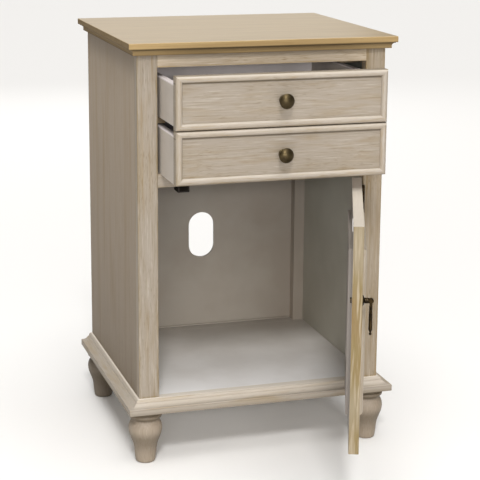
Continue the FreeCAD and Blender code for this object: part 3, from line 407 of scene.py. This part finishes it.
def oakMaterial(name, grain, glaze, edgeTone, sideStainAndShade):
    look = lacqueredOak
    material, tree, shader = newMaterial("lacquered_oak_" + name, IOR=look["ior"],
                                         Coat_Roughness=look["coatRoughness"])
    spot = boardSpace(tree, name)
    streaks = grainNoise(tree, spot, name, grain, look["streakSize"],
                         Detail=4.0, Roughness=0.55, Distortion=0.4)
    pores = grainNoise(tree, spot, name, grain, look["poreSize"], Detail=2.0)
    z = addNode(tree, "ShaderNodeSeparateXYZ", Vector=spot).outputs["Z"]
    face = addNode(tree, "ShaderNodeMath", {"operation": "GREATER_THAN"}, i0=z,
                   i1=boardBox("top_board")[1].z - faceSkin["eased"] * mm).outputs[0]
    coat = addNode(tree, "ShaderNodeMath", {"operation": "MULTIPLY"}, i0=face, i1=look["coat"])
    tree.links.new(coat.outputs[0], shader.inputs["Coat Weight"])
    gloss = addNode(tree, "ShaderNodeMapRange", Value=face,
                    To_Min=look["edgeRoughness"], To_Max=look["roughness"])
    tree.links.new(gloss.outputs["Result"], shader.inputs["Roughness"])
    edge, paintedLightFace = (setRamp(addNode(tree, "ShaderNodeValToRGB", Fac=streaks), look["shadeStops"],
                            [linearColor(shade, tone) for shade in look["shades"]])
                    for tone in ((edgeTone,) * 3, look["paintedLightFaceTone"]))
    # end grain and side runs are darker: more stain, and painted shade of the shaded sides
    ends = addNode(tree, "ShaderNodeMath", {"operation": "MULTIPLY"},
                   i0=returnMask(tree, spot, name), i1=sideStainAndShade)
    edge = addNode(tree, "ShaderNodeMix", {"data_type": "RGBA"}, Factor=ends.outputs[0],
                   i6=edge, i7=linearColor(look["stainAndShade"])).outputs[2]
    tan = addNode(tree, "ShaderNodeMix", {"data_type": "RGBA"}, Factor=face, i6=edge, i7=paintedLightFace).outputs[2]
    poreMask = addNode(tree, "ShaderNodeMapRange", Value=pores, From_Min=look["poreSpan"][0],
                       From_Max=look["poreSpan"][1], To_Min=0.0, To_Max=look["poreShare"])
    pored = addNode(tree, "ShaderNodeMix", {"data_type": "RGBA"}, Factor=poreMask.outputs["Result"],
                    i6=tan, i7=linearColor(look["pore"]))
    color = addNode(tree, "ShaderNodeMix", {"data_type": "RGBA"}, Factor=bandShare(tree, spot, name, glaze),
                    i6=pored.outputs[2], i7=linearColor(look["stainAndShade"])).outputs[2]  # painted shade in the hollows and at the lower edges
    joinShader(tree, shader, color, pores, look["bump"])
    return material


# planed pine without finish, aged and dusty: grey-brown, matt, with darker late-wood lines
planedPine = {"shades": ("#746044", "#847761"), "shadeStops": (0.36, 0.6), "lineSize": (220, 6.0),
              "roughness": 0.7, "ior": 1.5, "bump": (0.2, 0.3)}


def pineMaterial(name, grain):
    look = planedPine
    material, tree, shader = newMaterial("planed_pine_" + name, Roughness=look["roughness"],
                                         IOR=look["ior"])
    spot = boardSpace(tree, name)
    lines = grainNoise(tree, spot, name, grain, look["lineSize"], Detail=3.0, Distortion=0.3)
    color = setRamp(addNode(tree, "ShaderNodeValToRGB", Fac=lines), look["shadeStops"], look["shades"])
    joinShader(tree, shader, color, lines, look["bump"])
    return material


# antique bronze: cast metal under a dark brown patina that is thinner and brighter where it is handled
antiqueBronze = {"shades": ("#3d3322", "#554931"), "shadeStops": (0.3, 0.75), "cloud": 14.0, "metal": 0.9,
                 "roughness": (0.54, 0.36), "pit": 0.8, "bump": (0.12, 0.2)}
# the same on the small castings of the pull and hinges, where the patina stayed darker
darkBronze = dict(antiqueBronze, shades=("#191209", "#3d2f18"), cloud=6.0, roughness=(0.36, 0.18), pit=0.6)
# zinc-plated steel: pale grey metal, slightly clouded, half bright
zincSteel = {"shades": ("#9c9d99", "#c4c5c2"), "shadeStops": (0.35, 0.62), "cloud": 2.5, "metal": 1.0,
             "roughness": (0.44, 0.28)}
# the strike plate's zinc has turned milky white
milkyZinc = dict(zincSteel, shades=("#e2dedb", "#efecea"), cloud=3.0, metal=0.15, roughness=(0.6, 0.44))
glossSpan = (0.3, 0.7)  # cloud values between which a metal goes from its dull to its bright roughness


def metalMaterial(name, look):
    material, tree, shader = newMaterial(name, Metallic=look["metal"])
    spot = addNode(tree, "ShaderNodeTexCoord").outputs["Object"]
    cloud = addNode(tree, "ShaderNodeTexNoise", Scale=1000 / look["cloud"], Detail=3.0,
                    Vector=spot).outputs["Fac"]
    color = setRamp(addNode(tree, "ShaderNodeValToRGB", Fac=cloud), look["shadeStops"], look["shades"])
    gloss = addNode(tree, "ShaderNodeMapRange", Value=cloud, From_Min=glossSpan[0], From_Max=glossSpan[1],
                    To_Min=look["roughness"][0], To_Max=look["roughness"][1])
    tree.links.new(gloss.outputs["Result"], shader.inputs["Roughness"])
    pits = None
    if "pit" in look:
        pits = addNode(tree, "ShaderNodeTexNoise", Scale=1000 / look["pit"], Detail=2.0,
                       Vector=spot).outputs["Fac"]
    joinShader(tree, shader, color, pits, look.get("bump"))
    return material


# moulded ABS, dark brown: satin with a fine spark-eroded grain
catchPlastic = {"shades": ("#17110b", "#1e170f"), "grit": 0.5, "roughness": 0.7, "ior": 1.35}
# ferrite magnet: pressed powder, nearly black, matt
ferrite = {"shades": ("#0d0a06", "#151009"), "grit": 0.7, "roughness": 0.9, "ior": 1.2}
gritBody = {"shadeStops": (0.35, 0.7), "bump": (0.2, 0.1)}


def gritMaterial(name, look):
    material, tree, shader = newMaterial(name, Roughness=look["roughness"], IOR=look["ior"])
    spot = addNode(tree, "ShaderNodeTexCoord").outputs["Object"]
    grit = addNode(tree, "ShaderNodeTexNoise", Scale=1000 / look["grit"], Detail=2.0,
                   Vector=spot).outputs["Fac"]
    color = setRamp(addNode(tree, "ShaderNodeValToRGB", Fac=grit), gritBody["shadeStops"], look["shades"])
    joinShader(tree, shader, color, grit, gritBody["bump"])
    return material


def dress(name, material):
    slots = nodes[name].data.materials
    slots.clear()
    slots.append(material)


# bands of painted shade or painted highlight, as bandShare reads them: painted shade under the top, the crown and
# each drawer's bead, in the bead, on the feet and along the base's fascia; painted highlight on the bead's crest
underTop = [("bottom", 0.0, 2.2, 0.55)]
crownHollows = [("top", 0.0, 6.4, 0.8), ("bottom", 0.0, 1.6, 0.6)]
underCrown = [("top", 10.4, 19.0, 0.55)]
sideUnderCrown = underCrown + [("top", 10.4, 58.0, 0.5)]
underBead = [("top", 10.8, 14.0, 0.8)]
beadCrease = [("top", 10.8, 8.0, 0.8), ("bottom", 0.0, 2.4, 0.3)]
beadCrestHighlight = [("top", 0.6, 4.6, 0.5), ("bottom", 10.6, 6.4, 0.4)]
lowerBeadCrease = beadCrease + [("top", 0.0, 1.6, 0.15)]
# painted shade under the base, at the collar and under the swelling of each foot
footShadeBands = [("top", 0.0, 20.0, 0.88), ("top", 13.0, 0.0, 0.72), ("top", 13.0, 19.0, 0.85),
               ("bottom", 42.0, 62.0, 0.5), ("bottom", 42.0, 6.0, 0.5), ("bottom", 0.0, 4.0, 0.35)]
baseFascia = [("bottom", 0.0, 16.0, 0.52), ("bottom", 10.8, 0.0, 0.42)]
# painted light and shade: the sides warmer and darker towards their foot, the rear feet much darker, the rail
# under the top and the right stile lighter; fuller paint on the mouldings
sideShadeTone, sideShadeFade, rightStileLightTone = (1.12, 1.035, 0.92), (0.56, 0.535, 0.485), (1.05, 1.01, 0.93)
footShadeTones = {"front": (0.98, 0.935, 0.88), "rear": (0.5, 0.47, 0.43)}
doorTone, beadTone = (1.22, 1.22, 1.22), (1.22, 1.24, 1.28)
baseTone, railLightTone = (1.5, 1.55, 1.62), (1.42, 1.36, 1.24)
wallReach = 201.4  # from the middle to just past the cupboard's side walls, mm

# grain runs along each board: x across the front, y front to back, z upright, two letters on mitred strips
oakBoards = {"top_board": dict(grain="x", glaze=underTop, edgeTone=1.36, sideStainAndShade=0.52),
             "crown_moulding": dict(grain="xy", glaze=crownHollows, edgeTone=1.06, sideStainAndShade=0.3)}
sideFinish = dict(grain="z", tone=sideShadeTone, contrast=0.5, streak=sideStreak, paintedShadeFade=sideShadeFade,
                  glaze=sideUnderCrown, innerFace=wallReach)
stileFinish = dict(grain="z", rub=0.9, streak=stileStreak, glaze=underCrown)
baseFinish = dict(tone=baseTone, contrast=0.2, rub=0.2, streak=baseStreak, glaze=baseFascia, chalkAndHighlightTop=0.9)
frontFinish = dict(grain="x", contrast=0.85, streak=drawerStreak, glaze=underBead)
beadFinish = dict(grain="xz", tone=beadTone, contrast=0.6, rub=0.5, streak=beadStreak, chalkAndHighlight=beadCrestHighlight)
doorFinish = dict(tone=doorTone, paintedBack=True)
# the door's top face gets a painted highlight
doorTopFinish = dict(doorFinish, chalkAndHighlightTop=0.6)
washedBoards = {
    "left_side_panel": sideFinish,
    "right_side_panel": sideFinish,
    "left_front_stile": stileFinish,
    "right_front_stile": dict(stileFinish, tone=rightStileLightTone),
    "top_front_rail": dict(grain="x", tone=railLightTone, glaze=underCrown),
    "middle_front_rail": dict(grain="x"),
    "base_front_moulding": dict(baseFinish, grain="x"),
    "base_left_moulding": dict(baseFinish, grain="y"),
    "base_right_moulding": dict(baseFinish, grain="y"),
    "base_rear_rail": dict(grain="x", paintedTop=True),
    "upper_drawer_front": frontFinish,
    "lower_drawer_front": frontFinish,
    "upper_drawer_bead": dict(beadFinish, glaze=beadCrease),
    "lower_drawer_bead": dict(beadFinish, glaze=lowerBeadCrease),
    "door_free_stile": dict(doorTopFinish, grain="z", bareFace=True),
    "door_hinge_stile": dict(doorTopFinish, grain="z"),
    "door_top_rail": dict(doorTopFinish, grain="x"),
    "door_bottom_rail": dict(doorFinish, grain="x"),
    "door_panel": dict(doorFinish, grain="z"),
    "door_bead": dict(grain="xz", tone=doorTone, contrast=0.6, rub=0.35),
}
for end, footShade in footShadeTones.items():
    for side in ("left", "right"):
        washedBoards[end + "_" + side + "_foot"] = dict(grain="z", tone=footShade, contrast=0.6, rub=0.2,
                                                        glaze=footShadeBands)
pineBoards = {"upper_runners": "y", "lower_runners": "y", "drawer_kickers": "y"}
primedBoards = ["back_panel", "left_rear_post", "right_rear_post", "rear_top_rail"]
drawers = ("upper_drawer_", "lower_drawer_")
drawerSides = [drawer + board for drawer in drawers for board in ("left_side", "right_side")]
drawerInsides = [drawer + board for drawer in drawers for board in ("back", "bottom")]
knobs = ["upper_knob", "lower_knob"]
darkFittings = ["pull_mount", "pull_screw", "pull_drop", "hinge_pins", "hinge_cabinet_leaves",
                "hinge_door_leaves"]
steelFittings = ["back_panel_screws", "foot_bolts", "cabinet_hardware_screws", "door_hardware_screws",
                 "upper_knob_screw", "lower_knob_screw"]

for name, finish in oakBoards.items():
    dress(name, oakMaterial(name, **finish))
for name, finish in washedBoards.items():
    dress(name, whitewashMaterial(name, **finish))
for name, grain in pineBoards.items():
    dress(name, pineMaterial(name, grain))
for name in drawerSides:
    dress(name, paintMaterial("satin_drawer_paint_" + name, shadedDrawerPaint, highlightTop=name))
for names, material in ((["floor_panel"], paintMaterial("satin_cabinet_paint", floorPaint)),
                        (drawerInsides, paintMaterial("clean_drawer_paint", drawerInside)),
                        (["door_panel_stops"], paintMaterial("thin_door_paint", doorInside)),
                        (primedBoards, paintMaterial("primed_hardboard", backPrimer, plainRear="back_panel")),
                        (knobs, metalMaterial("antique_bronze", antiqueBronze)),
                        (darkFittings, metalMaterial("dark_bronze", darkBronze)),
                        (steelFittings, metalMaterial("zinc_plated_steel", zincSteel)),
                        (["strike_plate"], metalMaterial("milky_zinc_plate", milkyZinc)),
                        (["catch_body"], gritMaterial("moulded_abs", catchPlastic)),
                        (["catch_magnet"], gritMaterial("ferrite_magnet", ferrite))):
    for name in names:
        dress(name, material)
print("materials on all nodes")

# a thin quarter-round batten closes the joint of the floor and the back panel, sizes in mm
backBatten = {"height": 3.6, "depth": 5.0, "round": 2.6, "roundSteps": 5, "smoothAngle": 35}


def addBackBatten(look):
    height, depth = look["height"] * mm, look["depth"] * mm
    left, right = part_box("left_rear_post")[1][0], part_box("right_rear_post")[0][0]
    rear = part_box("back_panel")[0][1]
    middle = Vector(((left + right) / 2, rear - depth / 2, cupboardFoot + height / 2))
    bpy.ops.object.select_all(action="DESELECT")
    bpy.ops.mesh.primitive_cube_add(size=1.0, location=middle)
    batten = bpy.context.object
    batten.name = batten.data.name = "back_batten"
    bpy.ops.transform.resize(value=(right - left, depth, height))
    bpy.ops.object.transform_apply(location=True, rotation=True, scale=True)
    spots = batten.data.vertices
    for edge in batten.data.edges:  # the upper front edge alone is rounded
        ends = [spots[i].co for i in edge.vertices]
        edge.select = all(e.y < middle.y and e.z > middle.z for e in ends)
    bpy.ops.object.mode_set(mode="EDIT")
    bpy.ops.mesh.select_mode(type="EDGE")
    bpy.ops.mesh.bevel(offset=look["round"] * mm, segments=look["roundSteps"])
    bpy.ops.object.mode_set(mode="OBJECT")
    bpy.ops.object.shade_smooth_by_angle(angle=math.radians(look["smoothAngle"]))
    batten.data.materials.append(bpy.data.materials["primed_hardboard"])
    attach(batten, "cabinet")


addBackBatten(backBatten)
print("batten added")

# studio: pale floor and dim white room, a key lamp high in front, a broad lamp overhead, a strip soft box
# beside the camera that reaches into the cupboard and drawers, and one behind for the sheen on the top
studio = {"floorSize": 30.0, "floor": "#ebe9e6", "floorRoughness": 0.9, "room": 0.15, "sunDistance": 4.0}
sunLamps = {"key_lamp": {"height": 45.0, "turn": -15.0, "spread": 10.0, "power": 1.5},
            "overhead_lamp": {"height": 80.0, "turn": 0.0, "spread": 50.0, "power": 2.0}}
softBoxes = {"camera_soft_box": {"place": (-0.65, -2.75, 1.06), "aim": (0.0, 0.0, 0.45),
                                 "size": (1.8, 0.25), "power": 40},
             "back_soft_box": {"place": (0.4, 3.4, 2.0), "aim": (0.0, 0.0, 0.5),
                               "size": (2.6, 2.6), "power": 14}}


def addFloor(look):
    bpy.ops.object.select_all(action="DESELECT")
    bpy.ops.mesh.primitive_plane_add(size=look["floorSize"])
    floor = bpy.context.object
    floor.name = "studio_floor"
    floor.data.materials.append(newMaterial("studio_floor", Base_Color=linearColor(look["floor"]),
                                            Roughness=look["floorRoughness"])[0])


def addRoom(look):
    world = bpy.data.worlds.new("studio_room")
    world.use_nodes = True
    room = world.node_tree.nodes["Background"]
    room.inputs["Color"].default_value = list(white) + [1.0]
    room.inputs["Strength"].default_value = look["room"]
    bpy.context.scene.world = world


def addLamp(name, kind, power, place, aim):
    lamp = bpy.data.lights.new(name, kind)
    lamp.energy = power
    holder = bpy.data.objects.new(name, lamp)
    holder.location = place
    holder.rotation_euler = (Vector(aim) - Vector(place)).to_track_quat("-Z", "Y").to_euler()
    bpy.context.scene.collection.objects.link(holder)
    return lamp


def backwards(yaw, pitch):  # from the object to a viewer, turned by yaw and raised by pitch, in radians
    return Vector((math.sin(yaw) * math.cos(pitch), -math.cos(yaw) * math.cos(pitch), math.sin(pitch)))


addFloor(studio)
addRoom(studio)
for name, look in sunLamps.items():
    place = backwards(math.radians(look["turn"]), math.radians(look["height"])) * studio["sunDistance"]
    addLamp(name, "SUN", look["power"], place, (0, 0, 0)).angle = math.radians(look["spread"])
for name, look in softBoxes.items():
    lamp = addLamp(name, "AREA", look["power"], look["place"], look["aim"])
    lamp.shape = "RECTANGLE"
    lamp.size, lamp.size_y = look["size"]

# camera: the photograph's own view, angles in degrees, places in metres, focal and shift in its pixels
photoView = {"yaw": -17.357, "pitch": 12.782, "roll": 0.411, "target": (0.01945, 0.0, 0.39366),
             "distance": 2.7043, "focal": 1510.9, "shift": -36.0, "frameSize": 480, "sensor": 36.0}


def aimCamera(look):
    yaw, pitch, roll = (math.radians(look[k]) for k in ("yaw", "pitch", "roll"))
    back = backwards(yaw, pitch)
    right = Vector((math.cos(yaw), math.sin(yaw), 0.0))
    up = back.cross(right)
    right, up = right * math.cos(roll) + up * math.sin(roll), up * math.cos(roll) - right * math.sin(roll)
    lens = bpy.data.cameras.new("photo_camera")
    lens.sensor_width = look["sensor"]
    lens.lens = look["focal"] / look["frameSize"] * look["sensor"]
    lens.shift_y = look["shift"] / look["frameSize"]
    camera = bpy.data.objects.new("photo_camera", lens)
    stand = Matrix((right, up, back)).transposed().to_4x4()
    stand.translation = Vector(look["target"]) + back * look["distance"]
    camera.matrix_world = stand
    bpy.context.scene.collection.objects.link(camera)
    bpy.context.scene.camera = camera


aimCamera(photoView)
bpy.context.scene.view_settings.view_transform = "Standard"  # colours as measured, white floor stays white
print("studio and camera set")
